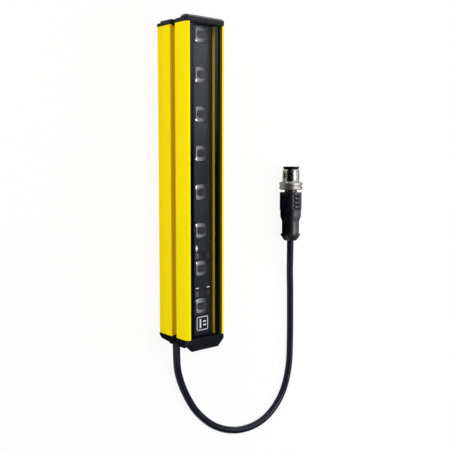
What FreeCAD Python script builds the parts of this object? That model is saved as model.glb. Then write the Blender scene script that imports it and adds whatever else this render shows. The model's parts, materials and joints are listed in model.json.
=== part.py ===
import FreeCAD, Part
import math
import os
import re

import Sketcher
from FreeCAD import Placement, Rotation, Vector

# A safety light curtain lying on its rear face, with its connection cable laid out beside it.
# X runs across the curtain, Y along it towards the top cap, and Z out of its window.
# The origin is under the middle of the curtain, on the surface that it lies on. Sizes are in millimetres.

doc = FreeCAD.newDocument("LightCurtain")

SIZES = {
    # housing profile
    "profile_width": 30.0,
    "profile_depth": 29.0,
    "profile_length": 188.8,
    "front_chamfer_across": 1.3,
    "front_chamfer_deep": 2.3,
    "rear_corner_radius": 0.8,
    "lip_width": 1.4,
    "slot_wall": 1.2,
    "back_wall": 2.0,
    "slot_share": 0.4517,
    "slot_opening": 5.0,
    "slot_depth": 4.0,
    "slot_neck": 1.4,
    "slot_undercut": 1.2,
    "rail_width": 1.2,
    "rail_thickness": 1.2,
    "screw_port_inset": 3.4,
    "rear_screw_height": 4.6,
    # front screen and its side seals
    "screen_recess": 1.9,
    "screen_thickness": 2.0,
    "screen_edge_radius": 0.3,
    "seal_width": 0.8,
    # end caps and gaskets
    "gasket_thickness": 0.8,
    "cap_fit": 0.2,
    "spigot_length": 3.0,
    "top_cap_height": 4.2,
    "top_edge_height": 2.0,
    "top_step_height": 2.5,
    "top_rear_height": 3.2,
    "top_rear_inset": 1.0,
    "top_block_depth": 5.6,
    "top_block_bevel": 1.3,
    "bottom_cap_height": 7.8,
    "bottom_base_height": 5.0,
    "bottom_rear_height": 1.4,
    "bottom_slope_height": 3.2,
    "bottom_slope_depth": 2.3,
    "bottom_step_height": 4.2,
    "bottom_step_depth": 9.8,
    "bottom_slope_end": 11.6,
    "apron_thickness": 3.2,
    "apron_corner": 4.7,
    "apron_bevel": 1.4,
    # countersunk cap screws
    "screw_diameter": 2.2,
    "screw_length": 10.0,
    "screw_head_diameter": 3.6,
    "screw_head_height": 1.2,
    "screw_fit": 0.1,
    "screw_cross_width": 0.5,
    "screw_cross_length": 2.0,
    "screw_cross_depth": 0.6,
    "top_screw_level": 2.5,
    "bottom_screw_level": 3.4,
    # circuit board and what stands on it
    "board_share": 0.4276,
    "board_thickness": 1.6,
    "board_fit": 0.2,
    "board_end_gap": 0.3,
    "diode_base": 4.0,
    "diode_base_height": 1.2,
    "diode_dome_radius": 1.4,
    "chip_size": 7.0,
    "chip_height": 1.2,
    "chip_place": 60.0,
    "chip_spacing": 45.0,
    "led_size": 1.8,
    "led_height": 0.6,
    # optics carrier, lenses and light pipes
    "beam_count": 8,
    "first_beam": 18.7,
    "last_beam": 5.6,
    "carrier_recess": 2.15,
    "optic_bore": 6.0,
    "lens_pocket_share": 0.447,
    "lens_size": 9.6,
    "lens_corner_radius": 2.2,
    "lens_stand": 0.9,
    "lens_rim": 1.1,
    "lens_dish_depth": 0.7,
    "lens_dome_height": 0.5,
    "lens_fit": 0.1,
    "pipe_across": 2.4,
    "pipe_along": 3.2,
    "pipe_side_place": 4.3,
    "pipe_after_beam": 8.1,
    # board connector and leads
    "connector_width": 9.0,
    "connector_length": 6.0,
    "connector_depth": 5.0,
    "connector_across": 2.0,
    "connector_place": 24.0,
    "lead_diameter": 0.8,
    "lead_spacing": 1.6,
    "lead_spread": 1.3,
    "lead_drop": 3.2,
    "lead_straight": 2.0,
    # cable and its grommet
    "cable_diameter": 4.8,
    "exit_inset": 3.4,
    "exit_drop": 0.4,
    "cable_straight": 10.4,
    "grommet_diameter": 5.8,
    "grommet_wall": 0.7,
    # plug: lengths along its axis, then diameters
    "plug_across": 94.5,
    "plug_rear": -41.8,
    "collar_length": 4.6,
    "barrel_length": 9.3,
    "taper_length": 3.4,
    "shoulder_length": 4.6,
    "grip_length": 12.6,
    "neck_length": 2.0,
    "ring_length": 5.3,
    "thread_length": 9.1,
    "rim_length": 1.7,
    "rim_gap": 0.25,
    "insert_seat": 1.0,
    "insert_disc": 6.0,
    "collar_small_diameter": 9.0,
    "collar_diameter": 14.4,
    "barrel_diameter": 12.3,
    "shoulder_diameter": 14.8,
    "grip_diameter": 15.6,
    "neck_diameter": 8.8,
    "ring_diameter": 16.4,
    "thread_diameter": 12.0,
    "insert_diameter": 9.5,
    "insert_bore": 8.6,
    "rim_diameter": 11.8,
    "rim_small_diameter": 10.8,
    "spin_gap": 0.25,
    "ring_groove_width": 0.9,
    "ring_groove_depth": 0.6,
    "ring_chamfer": 0.4,
    "thread_lead_in": 0.6,
    "grip_recess": 1.3,
    "grip_recess_width": 5.6,
    "grip_rib_count": 4,
    "grip_rib_width": 1.1,
    "grip_rib_pitch": 2.9,
    "grip_rib_height": 0.9,
    "pin_diameter": 1.0,
    "pin_length": 11.5,
    "pin_circle": 7.0,
    "pin_depth": 4.0,
    "pin_fit": 0.03,
    "pin_tip_radius": 0.3,
}

sheet = doc.addObject("Spreadsheet::Sheet", "Sizes")
for row, (alias, size) in enumerate(SIZES.items(), start=1):
    sheet.set(f"A{row}", str(size))
    sheet.setAlias(f"A{row}", alias)
doc.recompute()

# Places that follow from the sizes above, each as a formula.
PLACES = {
    "half_width": "profile_width / 2",
    "lip_outer": "half_width - front_chamfer_across",
    "lip_inner": "lip_outer - lip_width",
    "screen_top": "profile_depth - screen_recess",
    "screen_seat": "screen_top - screen_thickness",
    "slot_height": "profile_depth * slot_share",
    "slot_top": "slot_height + slot_opening",
    "slot_floor": "half_width - slot_depth",
    "cavity_half": "slot_floor - slot_wall",
    "slot_inner": "half_width - slot_neck",
    "board_height": "profile_depth * board_share",
    "rail_bottom": "board_height - rail_thickness",
    "front_screw_height": "(slot_top + slot_undercut + screen_seat) / 2",
    "port_across": "half_width - screw_port_inset",
    "port_radius": "(screw_diameter + screw_fit) / 2",
    "profile_base": "bottom_cap_height - (profile_length + top_cap_height + bottom_cap_height) / 2",
    "profile_end": "profile_base + profile_length",
    "board_top": "board_height + board_thickness",
    "board_length": "profile_length - 2 * board_end_gap",
    "board_start": "profile_base + board_end_gap",
    "beam_pitch": "(profile_length - first_beam - last_beam) / (beam_count - 1)",
    "carrier_top": "screen_seat - carrier_recess",
    "lens_pocket_depth": "(carrier_top - board_top) * lens_pocket_share",
    "lens_seat": "carrier_top - lens_pocket_depth",
    "lens_height": "lens_pocket_depth + lens_stand",
    "led_top": "board_top + led_height",
    "exit_across": "-(cavity_half - exit_inset)",
    "exit_height": "(back_wall + rail_bottom) / 2 - exit_drop",
    "plug_height": "ring_diameter / 2",
    "barrel_start": "collar_length",
    "taper_start": "barrel_start + barrel_length",
    "shoulder_start": "taper_start + taper_length",
    "grip_start": "shoulder_start + shoulder_length",
    "grip_end": "grip_start + grip_length",
    "ring_start": "grip_end + neck_length",
    "ring_end": "ring_start + ring_length",
    "thread_end": "ring_end + thread_length",
    "rim_start": "thread_end + rim_gap",
    "plug_end": "rim_start + rim_length",
    "insert_start": "ring_start + insert_seat",
    "pin_start": "insert_start + insert_disc - pin_depth",
}


def formula(text):
    """The same formula with each size read from the sheet and each place written out."""

    def expand(word):
        name = word.group(0)
        if name in PLACES:
            return "(" + formula(PLACES[name]) + ")"
        return "Sizes." + name if name in SIZES else name

    return re.sub(r"[a-z][a-z_]+", expand, text)


def value_of(text):
    """What a formula comes to now, in millimetres."""
    return float(sheet.evalExpression(formula(text)))


def bind(thing, **formulas):
    """Ties properties of an object to formulas; an underscore in a name stands for a dot."""
    for name, text in formulas.items():
        thing.setExpression(name.replace("_", "."), formula(text))
    return thing


def place(thing, across="0", along="0", up="0"):
    """Ties an object's place to formulas."""
    return bind(thing, Placement_Base_x=across, Placement_Base_y=along, Placement_Base_z=up)


def name_piece(thing, label):
    """Marks an object as a finished piece; its label is the name of its file."""
    thing.Label = label
    pieces.append(thing)
    return thing


pieces = []


# Sketches


def new_body(name):
    """An empty body."""
    return doc.addObject("PartDesign::Body", name)


def origin_feature(body, role):
    """One of the body's own origin planes or axes."""
    return [feature for feature in body.Origin.OriginFeatures if feature.Role == role][0]


def new_sketch(body, role, shift="0"):
    """A sketch on one of the body's origin planes, moved off it by a formula."""
    sketch = body.newObject("Sketcher::SketchObject", body.Name + "Sketch")
    sketch.AttachmentSupport = [(origin_feature(body, role), "")]
    sketch.MapMode = "FlatFace"
    return bind(sketch, AttachmentOffset_Base_z=shift)


def fix_point(sketch, element, end, across, up):
    """Holds a point of a sketch at two formulas."""
    for kind, text in (("DistanceX", across), ("DistanceY", up)):
        index = sketch.addConstraint(Sketcher.Constraint(kind, -1, 1, element, end, value_of(text)))
        sketch.setExpression(f"Constraints[{index}]", formula(text))


def draw_polygon(sketch, corners):
    """A closed outline through corners given as pairs of formulas."""
    points = [Vector(value_of(across), value_of(up), 0) for across, up in corners]
    first = sketch.GeometryCount
    for start, end in zip(points, points[1:] + points[:1]):
        sketch.addGeometry(Part.LineSegment(start, end))
    for step in range(len(points)):
        following = first + (step + 1) % len(points)
        sketch.addConstraint(Sketcher.Constraint("Coincident", first + step, 2, following, 1))
    for step, (across, up) in enumerate(corners):
        fix_point(sketch, first + step, 1, across, up)


def draw_rectangle(sketch, left, right, bottom, top):
    """An upright rectangle between four formulas."""
    draw_polygon(sketch, [(left, bottom), (right, bottom), (right, top), (left, top)])


def draw_circle(sketch, across, up, radius):
    """A circle whose centre and radius are formulas."""
    centre = Vector(value_of(across), value_of(up), 0)
    element = sketch.addGeometry(Part.Circle(centre, Vector(0, 0, 1), value_of(radius)))
    fix_point(sketch, element, 3, across, up)
    index = sketch.addConstraint(Sketcher.Constraint("Radius", element, value_of(radius)))
    sketch.setExpression(f"Constraints[{index}]", formula(radius))


def both_sides(right_side):
    """Corners on the right, given upwards, and their mirror images on the left."""
    return right_side + [(f"-({across})", up) for across, up in reversed(right_side)]


# Features


def new_pad(body, sketch, length, reverse=False):
    """The sketch's outline carried out by a length."""
    pad = body.newObject("PartDesign::Pad", body.Name + "Pad")
    pad.Profile = sketch
    pad.Reversed = reverse
    return bind(pad, Length=length)


def new_pocket(body, sketch, depth=None, reverse=False):
    """The sketch's outline cut out to a depth, or right through both ways."""
    pocket = body.newObject("PartDesign::Pocket", body.Name + "Pocket")
    pocket.Profile = sketch
    pocket.Reversed = reverse
    if depth is None:
        pocket.Type = "ThroughAll"
        pocket.SideType = "Symmetric"
        return pocket
    return bind(pocket, Length=depth)


def new_revolution(body, sketch):
    """The sketch turned about its own upright axis."""
    turned = body.newObject("PartDesign::Revolution", body.Name + "Turned")
    turned.Profile = sketch
    turned.ReferenceAxis = (sketch, ["V_Axis"])
    turned.Angle = 360
    return turned


def repeat(body, originals, role, pitch, count):
    """Copies of features in a row along one of the body's origin axes."""
    row = body.newObject("PartDesign::LinearPattern", body.Name + "Row")
    row.Originals = originals
    row.Direction = (origin_feature(body, role), [""])
    row.Mode = "Spacing"
    bind(row, Offset=pitch, Occurrences=count)
    body.Tip = row
    return row


def edges_where(feature, test):
    """Names of the feature's edges whose middle and shape pass a test."""
    doc.recompute()
    return [f"Edge{number}" for number, edge in enumerate(feature.Shape.Edges, start=1) if test(edge)]


def middle_of(edge):
    """The point halfway along an edge."""
    return edge.valueAt((edge.FirstParameter + edge.LastParameter) / 2)


def near(first, second):
    """Whether two lengths agree to a hundredth of a millimetre."""
    return abs(first - second) < 0.01


def runs_along(edge, axis):
    """Whether a straight edge runs along an axis."""
    if edge.Curve.TypeId != "Part::GeomLine":
        return False
    return edge.tangentAt(edge.FirstParameter).cross(axis).Length < 0.01


def round_edges(body, feature, test, radius):
    """A fillet on the edges that pass a test."""
    fillet = body.newObject("PartDesign::Fillet", body.Name + "Fillet")
    fillet.Base = (feature, edges_where(feature, test))
    return bind(fillet, Radius=radius)


def bevel_edges(body, feature, test, size):
    """A chamfer on the edges that pass a test."""
    chamfer = body.newObject("PartDesign::Chamfer", body.Name + "Chamfer")
    chamfer.Base = (feature, edges_where(feature, test))
    return bind(chamfer, Size=size)


def new_box(name, across, along, up, width, length, height):
    """A block standing on a point, centred across and starting at a place along the curtain."""
    block = doc.addObject("Part::Box", name)
    bind(block, Length=width, Width=length, Height=height)
    return place(block, f"({across}) - ({width}) / 2", along, up)


# Housing


def profile_corners():
    """The profile's outer outline from the rear up to its right lip, with the side slot."""
    return [
        ("half_width", "0"),
        ("half_width", "slot_height"),
        ("slot_inner", "slot_height"),
        ("slot_inner", "slot_height - slot_undercut"),
        ("slot_floor", "slot_height - slot_undercut"),
        ("slot_floor", "slot_top + slot_undercut"),
        ("slot_inner", "slot_top + slot_undercut"),
        ("slot_inner", "slot_top"),
        ("half_width", "slot_top"),
        ("half_width", "profile_depth - front_chamfer_deep"),
        ("lip_outer", "profile_depth"),
    ]


def cavity_corners():
    """The inside of the right wall, from its lip down to the rear wall."""
    return [
        ("lip_inner", "profile_depth"),
        ("lip_inner", "screen_seat"),
        ("cavity_half", "screen_seat"),
        ("cavity_half", "board_height"),
        ("cavity_half - rail_width", "board_height"),
        ("cavity_half - rail_width", "rail_bottom"),
        ("cavity_half", "rail_bottom"),
        ("cavity_half", "back_wall"),
    ]


def draw_screw_ports(sketch, radius):
    """Four round holes for the cap screws."""
    for side in ("port_across", "-(port_across)"):
        for height in ("rear_screw_height", "front_screw_height"):
            draw_circle(sketch, side, height, radius)


def make_housing_profile():
    """Extruded housing, open at the front, with a slot in each side and rails for the board."""
    body = new_body("HousingProfile")
    section = new_sketch(body, "XZ_Plane")
    draw_polygon(section, both_sides(profile_corners() + cavity_corners()))
    draw_screw_ports(section, "port_radius")
    extrusion = new_pad(body, section, "profile_length", reverse=True)

    def rear_corner(edge):
        point = middle_of(edge)
        on_side = near(abs(point.x), value_of("half_width"))
        return runs_along(edge, Vector(0, 1, 0)) and near(point.z, 0) and on_side

    round_edges(body, extrusion, rear_corner, "rear_corner_radius")
    place(body, along="profile_base")
    name_piece(body, "housing_profile")


def make_front_screen():
    """Smoked window lying on the profile's two inner ledges."""
    body = new_body("FrontScreen")
    section = new_sketch(body, "XZ_Plane")
    edge_place = "lip_inner - seal_width"
    draw_rectangle(section, f"-({edge_place})", edge_place, "screen_seat", "screen_top")
    sheet_pad = new_pad(body, section, "profile_length", reverse=True)

    def front_edge(edge):
        return runs_along(edge, Vector(0, 1, 0)) and near(middle_of(edge).z, value_of("screen_top"))

    round_edges(body, sheet_pad, front_edge, "screen_edge_radius")
    place(body, along="profile_base")
    name_piece(body, "front_screen")


def make_screen_seal(label, side):
    """Rubber strip between one long edge of the screen and its lip; side is -1 on the left."""
    middle = f"{side} * (lip_inner - seal_width / 2)"
    strip = new_box(
        label, middle, "profile_base", "screen_seat", "seal_width", "profile_length", "screen_thickness",
    )
    name_piece(strip, label)


# End caps and gaskets


def end_corners():
    """Outer outline of caps and gaskets: the profile's, with a plain notch at each slot."""
    return [
        ("half_width", "0"),
        ("half_width", "slot_height"),
        ("slot_floor", "slot_height"),
        ("slot_floor", "slot_top"),
        ("half_width", "slot_top"),
        ("half_width", "profile_depth - front_chamfer_deep"),
        ("lip_outer", "profile_depth"),
    ]


def front_corners(rear):
    """Right side of a cap's front block: the profile's outline from a height up to its lip."""
    return [
        ("half_width", rear),
        ("half_width", "profile_depth - front_chamfer_deep"),
        ("lip_outer", "profile_depth"),
    ]


def make_gasket(name, label, along):
    """Flat rubber gasket between the profile's end and its cap."""
    body = new_body(name)
    outline = new_sketch(body, "XZ_Plane")
    draw_polygon(outline, both_sides(end_corners()))
    draw_rectangle(outline, "-(cavity_half)", "cavity_half", "back_wall", "rail_bottom")
    draw_screw_ports(outline, "port_radius")
    new_pad(body, outline, "gasket_thickness", reverse=True)
    place(body, along=along)
    name_piece(body, label)


def add_spigot(body, reverse):
    """Block that reaches from the cap through the gasket into the housing's rear chamber."""
    outline = new_sketch(body, "XZ_Plane")
    half = "cavity_half - cap_fit"
    draw_rectangle(outline, f"-({half})", half, "back_wall + cap_fit", "rail_bottom - cap_fit")
    new_pad(body, outline, "gasket_thickness + spigot_length", reverse=reverse)


def cut_screw_seats(body, level, outwards):
    """Shank holes, countersinks and the room above each screw head; outwards is 1 on the top cap."""
    shanks = new_sketch(body, "XZ_Plane")
    draw_screw_ports(shanks, "port_radius")
    new_pocket(body, shanks)
    head_radius = "(screw_head_diameter + screw_fit) / 2"
    heads = new_sketch(body, "XZ_Plane", f"-({outwards}) * ({level} - screw_head_height)")
    draw_screw_ports(heads, head_radius)
    new_pocket(body, heads, "bottom_cap_height", reverse=outwards < 0)


def make_top_cap():
    """Moulded cap at the far end: low edge, rear pad, step and bevelled front block."""
    body = new_body("TopCap")
    edge_plate = new_sketch(body, "XZ_Plane")
    draw_polygon(edge_plate, both_sides(end_corners()))
    new_pad(body, edge_plate, "top_edge_height - gasket_thickness", reverse=True)
    rear_pad = new_sketch(body, "XZ_Plane")
    rear_half = "half_width - top_rear_inset"
    draw_rectangle(rear_pad, f"-({rear_half})", rear_half, "2 * top_rear_inset", "slot_height")
    new_pad(body, rear_pad, "top_rear_height - gasket_thickness", reverse=True)
    step = new_sketch(body, "XZ_Plane")
    draw_rectangle(step, "-(half_width)", "half_width", "slot_top", "profile_depth - front_chamfer_deep")
    new_pad(body, step, "top_step_height - gasket_thickness", reverse=True)
    middle = new_sketch(body, "XZ_Plane")
    draw_rectangle(middle, "-(slot_floor)", "slot_floor", "slot_height", "slot_top")
    new_pad(body, middle, "top_step_height - gasket_thickness", reverse=True)
    block = new_sketch(body, "XZ_Plane")
    block_rear = "profile_depth - top_block_depth"
    draw_polygon(block, both_sides(front_corners(block_rear)))
    front_block = new_pad(body, block, "top_cap_height - gasket_thickness", reverse=True)
    top_level = value_of("top_cap_height - gasket_thickness")

    def block_rim(edge):
        point = middle_of(edge)
        return near(point.y, top_level) and not near(point.z, value_of(block_rear))

    bevel_edges(body, front_block, block_rim, "top_block_bevel")
    add_spigot(body, reverse=False)
    cut_screw_seats(body, "top_screw_level - gasket_thickness", 1)
    place(body, along="profile_end + gasket_thickness")
    name_piece(body, "top_cap")


def make_bottom_cap():
    """Moulded cap at the cable's end: sloped at the rear, with a cornered apron at the front."""
    body = new_body("BottomCap")
    plate = new_sketch(body, "XZ_Plane")
    draw_polygon(plate, both_sides(end_corners()))
    new_pad(body, plate, "bottom_base_height - gasket_thickness")
    slope = new_sketch(body, "YZ_Plane")
    below = "-(bottom_cap_height)"
    slope_corners = [
        ("-(bottom_rear_height - gasket_thickness)", "0"),
        ("-(bottom_slope_height - gasket_thickness)", "bottom_slope_depth"),
        ("-(bottom_step_height - gasket_thickness)", "bottom_step_depth"),
        ("-(bottom_base_height - gasket_thickness)", "bottom_slope_end"),
        (below, "bottom_slope_end"),
        (below, "-(gasket_thickness)"),
        ("-(bottom_rear_height - gasket_thickness)", "-(gasket_thickness)"),
    ]
    draw_polygon(slope, slope_corners)
    new_pocket(body, slope)
    boss = new_sketch(body, "XZ_Plane")
    draw_circle(boss, "exit_across", "exit_height", "grommet_diameter / 2 + grommet_wall")
    new_pad(body, boss, "bottom_base_height - gasket_thickness")
    apron_rear = "profile_depth - apron_thickness"
    apron = new_sketch(body, "XZ_Plane")
    draw_polygon(apron, both_sides(front_corners(apron_rear)))
    new_pad(body, apron, "bottom_cap_height - gasket_thickness")
    apron_end = "-(bottom_cap_height - gasket_thickness)"
    corner_cuts = new_sketch(body, "XY_Plane", apron_rear)
    for side in (1, -1):
        cut_corners = [
            (f"{side} * (half_width - apron_corner)", apron_end),
            (f"{side} * half_width", apron_end),
            (f"{side} * half_width", f"{apron_end} + apron_corner"),
        ]
        draw_polygon(corner_cuts, cut_corners)
    apron_block = new_pocket(body, corner_cuts, "apron_thickness", reverse=True)

    def apron_rim(edge):
        point = middle_of(edge)
        sideways = not runs_along(edge, Vector(0, 1, 0))
        return sideways and near(point.z, value_of("profile_depth")) and not near(point.y, 0)

    bevel_edges(body, apron_block, apron_rim, "apron_bevel")
    add_spigot(body, reverse=True)
    cut_screw_seats(body, "bottom_screw_level - gasket_thickness", -1)
    bore = new_sketch(body, "XZ_Plane")
    draw_circle(bore, "exit_across", "exit_height", "grommet_diameter / 2")
    new_pocket(body, bore)
    place(body, along="profile_base - gasket_thickness")
    name_piece(body, "bottom_cap")


def make_screw(name, across, level, height, outwards):
    """Countersunk cross-head screw; outwards is 1 where its head faces the top end."""
    shank = doc.addObject("Part::Cylinder", name + "Shank")
    bind(shank, Radius="screw_diameter / 2", Height="screw_length")
    head = doc.addObject("Part::Cone", name + "Head")
    bind(head, Radius1="screw_diameter / 2", Radius2="screw_head_diameter / 2", Height="screw_head_height")
    bind(head, Placement_Base_z="screw_length - screw_head_height")
    solid = doc.addObject("Part::MultiFuse", name + "Solid")
    solid.Shapes = [shank, head]
    recess = doc.addObject("Part::MultiFuse", name + "Recess")
    bars = []
    for bar_name, width, depth in (
        ("Wide", "screw_cross_length", "screw_cross_width"),
        ("Tall", "screw_cross_width", "screw_cross_length"),
    ):
        bar = doc.addObject("Part::Box", name + bar_name)
        bind(bar, Length=width, Width=depth, Height="screw_cross_depth")
        place(bar, f"-({width}) / 2", f"-({depth}) / 2", "screw_length - screw_cross_depth")
        bars.append(bar)
    recess.Shapes = bars
    screw = doc.addObject("Part::Cut", name)
    screw.Base = solid
    screw.Tool = recess
    screw.Placement = Placement(Vector(), Rotation(Vector(1, 0, 0), -90 * outwards))
    return place(screw, across, f"{level} - ({outwards}) * screw_length", height)


def make_screw_set(label, level, outwards):
    """The four screws of one cap."""
    screws = []
    for side in ("port_across", "-(port_across)"):
        for height in ("rear_screw_height", "front_screw_height"):
            screws.append(make_screw(f"{label}_{len(screws) + 1}", side, level, height, outwards))
    group = doc.addObject("Part::Compound", label)
    group.Links = screws
    name_piece(group, label)


# Electronics and optics


def make_board():
    """Circuit board lying on the profile's two rails."""
    board = new_box(
        "CircuitBoard", "0", "board_start", "board_height",
        "2 * (cavity_half - board_fit)", "board_length", "board_thickness",
    )
    name_piece(board, "circuit_board")


def beam_place(number):
    """Where a beam's axis lies along the curtain, as a formula."""
    return f"profile_base + first_beam + {number} * beam_pitch"


def make_optics_carrier():
    """Black moulded bar that holds the lenses over the board and keeps the beams apart."""
    body = new_body("OpticsCarrier")
    section = new_sketch(body, "XZ_Plane")
    half = "cavity_half - board_fit"
    draw_rectangle(section, f"-({half})", half, "board_top", "carrier_top")
    new_pad(body, section, "board_length", reverse=True)
    first = "first_beam - board_end_gap"
    seat = new_sketch(body, "XY_Plane", "carrier_top")
    seat_half = "lens_size / 2 + lens_fit"
    draw_rectangle(seat, f"-({seat_half})", seat_half, f"{first} - ({seat_half})", f"{first} + {seat_half}")
    seat_pocket = new_pocket(body, seat, "lens_pocket_depth")
    bore = new_sketch(body, "XY_Plane", "carrier_top")
    draw_circle(bore, "0", first, "optic_bore / 2")
    bore_pocket = new_pocket(body, bore, "carrier_top")
    repeat(body, [seat_pocket, bore_pocket], "Y_Axis", "beam_pitch", "beam_count")
    windows = new_sketch(body, "XY_Plane", "carrier_top")
    for number in range(2):
        middle = f"{first} + {number} * beam_pitch + pipe_after_beam"
        for side in (-1, 1):
            centre = f"{side} * pipe_side_place"
            reach_across = "pipe_across / 2 + lens_fit"
            reach_along = "pipe_along / 2 + lens_fit"
            draw_rectangle(
                windows,
                f"{centre} - ({reach_across})", f"{centre} + {reach_across}",
                f"{middle} - ({reach_along})", f"{middle} + {reach_along}",
            )
    body.Tip = new_pocket(body, windows, "carrier_top")
    place(body, along="board_start")
    name_piece(body, "optics_carrier")


def make_lens(number):
    """Clear moulded lens: a rounded square block with a raised rim and a low dome in its dish."""
    body = new_body(f"Lens{number + 1}")
    block = new_sketch(body, "XY_Plane")
    draw_rectangle(block, "-(lens_size / 2)", "lens_size / 2", "-(lens_size / 2)", "lens_size / 2")
    block_pad = new_pad(body, block, "lens_height")

    def corner(edge):
        return runs_along(edge, Vector(0, 0, 1))

    round_edges(body, block_pad, corner, "lens_corner_radius")
    dish = new_sketch(body, "XY_Plane", "lens_height")
    dish_half = "lens_size / 2 - lens_rim"
    draw_rectangle(dish, f"-({dish_half})", dish_half, f"-({dish_half})", dish_half)
    dish_pocket = new_pocket(body, dish, "lens_dish_depth")
    floor = value_of("lens_height - lens_dish_depth")

    def dish_corner(edge):
        point = middle_of(edge)
        inside = max(abs(point.x), abs(point.y)) < value_of(dish_half) + 0.01
        return runs_along(edge, Vector(0, 0, 1)) and inside and point.z > floor

    round_edges(body, dish_pocket, dish_corner, "lens_corner_radius - lens_rim")
    dome = body.newObject("PartDesign::AdditiveEllipsoid", body.Name + "Dome")
    dome.AttachmentSupport = [(origin_feature(body, "XY_Plane"), "")]
    dome.MapMode = "FlatFace"
    bind(dome, AttachmentOffset_Base_z="lens_height - lens_dish_depth")
    bind(dome, Radius1="lens_dome_height", Radius2=f"{dish_half} - lens_fit")
    place(body, "0", beam_place(number), "lens_seat")
    name_piece(body, f"lens_{number + 1}")


def make_beam_diode(number):
    """Surface-mounted diode under one lens: a square base and a domed top."""
    along = beam_place(number)
    base = new_box(
        f"DiodeBase{number + 1}", "0", f"{along} - diode_base / 2", "board_top",
        "diode_base", "diode_base", "diode_base_height",
    )
    dome = doc.addObject("Part::Sphere", f"DiodeDome{number + 1}")
    bind(dome, Radius="diode_dome_radius")
    dome.Angle1 = 0
    place(dome, "0", along, "board_top + diode_base_height")
    diode = doc.addObject("Part::Fuse", f"BeamDiode{number + 1}")
    diode.Base = base
    diode.Tool = dome
    name_piece(diode, f"beam_diode_{number + 1}")


def make_chip(number):
    """Control chip under the board."""
    chip = new_box(
        f"ControlChip{number + 1}", "0", f"profile_base + chip_place + {number} * chip_spacing",
        "board_height - chip_height", "chip_size", "chip_size", "chip_height",
    )
    name_piece(chip, f"control_chip_{number + 1}")


def make_indicator(number):
    """Indicator lamp on the board, and the light pipe that carries its light to the screen."""
    centre = f"{-1 if number % 2 == 0 else 1} * pipe_side_place"
    along = f"{beam_place(number // 2)} + pipe_after_beam"
    led = new_box(
        f"IndicatorLed{number + 1}", centre, f"{along} - led_size / 2", "board_top",
        "led_size", "led_size", "led_height",
    )
    name_piece(led, f"indicator_led_{number + 1}")
    pipe = new_box(
        f"LightPipe{number + 1}", centre, f"{along} - pipe_along / 2", "led_top",
        "pipe_across", "pipe_along", "screen_seat - (led_top)",
    )
    name_piece(pipe, f"light_pipe_{number + 1}")


def make_board_connector():
    """Socket under the board that takes the cable's leads."""
    socket = new_box(
        "BoardConnector", "connector_across", "profile_base + connector_place",
        "board_height - connector_depth", "connector_width", "connector_length", "connector_depth",
    )
    name_piece(socket, "board_connector")


# Tubes along straight runs and tangent arcs


def bend_radii(points):
    """The radius at each inner point: 0.45 of the shorter run over the tangent of half the turn."""
    radii = []
    for before, point, after in zip(points, points[1:], points[2:]):
        half_turn = (point - before).getAngle(after - point) / 2
        shorter = min((point - before).Length, (after - point).Length)
        radii.append(0.45 * shorter / math.tan(half_turn))
    return radii


def tube_path(points):
    """One wire of straight runs joined by arcs that are tangent to them."""
    edges = []
    start = points[0]
    for before, point, after in zip(points, points[1:], points[2:]):
        arriving = (point - before).normalize()
        leaving = (after - point).normalize()
        reach = 0.45 * min((point - before).Length, (after - point).Length)
        radius = reach / math.tan(arriving.getAngle(leaving) / 2)
        bend_start = point - arriving * reach
        bend_end = point + leaving * reach
        inwards = (leaving - arriving).normalize()
        centre = point + inwards * math.hypot(radius, reach)
        edges.append(Part.LineSegment(start, bend_start).toShape())
        edges.append(Part.Arc(bend_start, centre - inwards * radius, bend_end).toShape())
        start = bend_end
    edges.append(Part.LineSegment(start, points[-1]).toShape())
    return Part.Wire(edges)


def make_tube(label, points, diameter):
    """A solid tube along the points, its volume compared with its section times its length."""
    path = tube_path(points)
    ring = Part.Circle(points[0], points[1] - points[0], diameter / 2)
    solid = path.makePipeShell([Part.Wire(ring.toShape())], True, True)
    expected = math.pi * diameter**2 / 4 * path.Length
    if abs(solid.Volume / expected - 1) > 0.01:
        raise ValueError(f"{label}: volume {solid.Volume:.1f} is not {expected:.1f}")
    tube = doc.addObject("Part::Feature", label)
    tube.Shape = solid
    name_piece(tube, label)
    return path.Length


def make_leads():
    """Five insulated leads from the grommet to the board connector, in the order of their places across."""
    across = value_of("exit_across")
    height = value_of("exit_height")
    spread = value_of("lead_spread")
    begin = value_of("profile_base + spigot_length")
    end = value_of("profile_base + connector_place")
    straight = value_of("lead_straight")
    level = value_of("board_height - lead_drop")
    starts = [(-spread, 0), (0, -spread), (0, 0), (0, spread), (spread, 0)]
    for number, (aside, above) in enumerate(starts):
        target = value_of("connector_across") + (number - 2) * value_of("lead_spacing")
        points = [
            Vector(across + aside, begin, height + above),
            Vector(across + aside, begin + straight, height + above),
            Vector(target, end - straight, level),
            Vector(target, end, level),
        ]
        make_tube(f"lead_{number + 1}", points, value_of("lead_diameter"))


def make_grommet():
    """Rubber plug moulded round the cable's end, held in the bottom cap."""
    grommet = doc.addObject("Part::Cylinder", "CableGrommet")
    bind(grommet, Radius="grommet_diameter / 2", Height="bottom_base_height + spigot_length")
    grommet.Placement = Placement(Vector(), Rotation(Vector(1, 0, 0), -90))
    place(grommet, "exit_across", "profile_base - bottom_base_height", "exit_height")
    name_piece(grommet, "cable_grommet")


# The cable's bends: across and along from the cap's exit or from the plug's rear, in millimetres, and
# how much of its rise off the surface is left there.
BENDS_AFTER_EXIT = [
    (2.5, -23.5, 0.42),
    (9.7, -39.2, 0),
    (19.9, -55.4, 0),
    (37.4, -70.0, 0),
    (59.4, -77.4, 0),
]
BENDS_BEFORE_PLUG = [
    (-18.7, -131.1, 0),
    (-1.5, -117.8, 0),
    (6.3, -97.3, 0),
    (6.9, -74.8, 0),
    (6.7, -53.8, 0),
    (6.4, -35.8, 0),
    (3.5, -22.3, 0.38),
]


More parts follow.
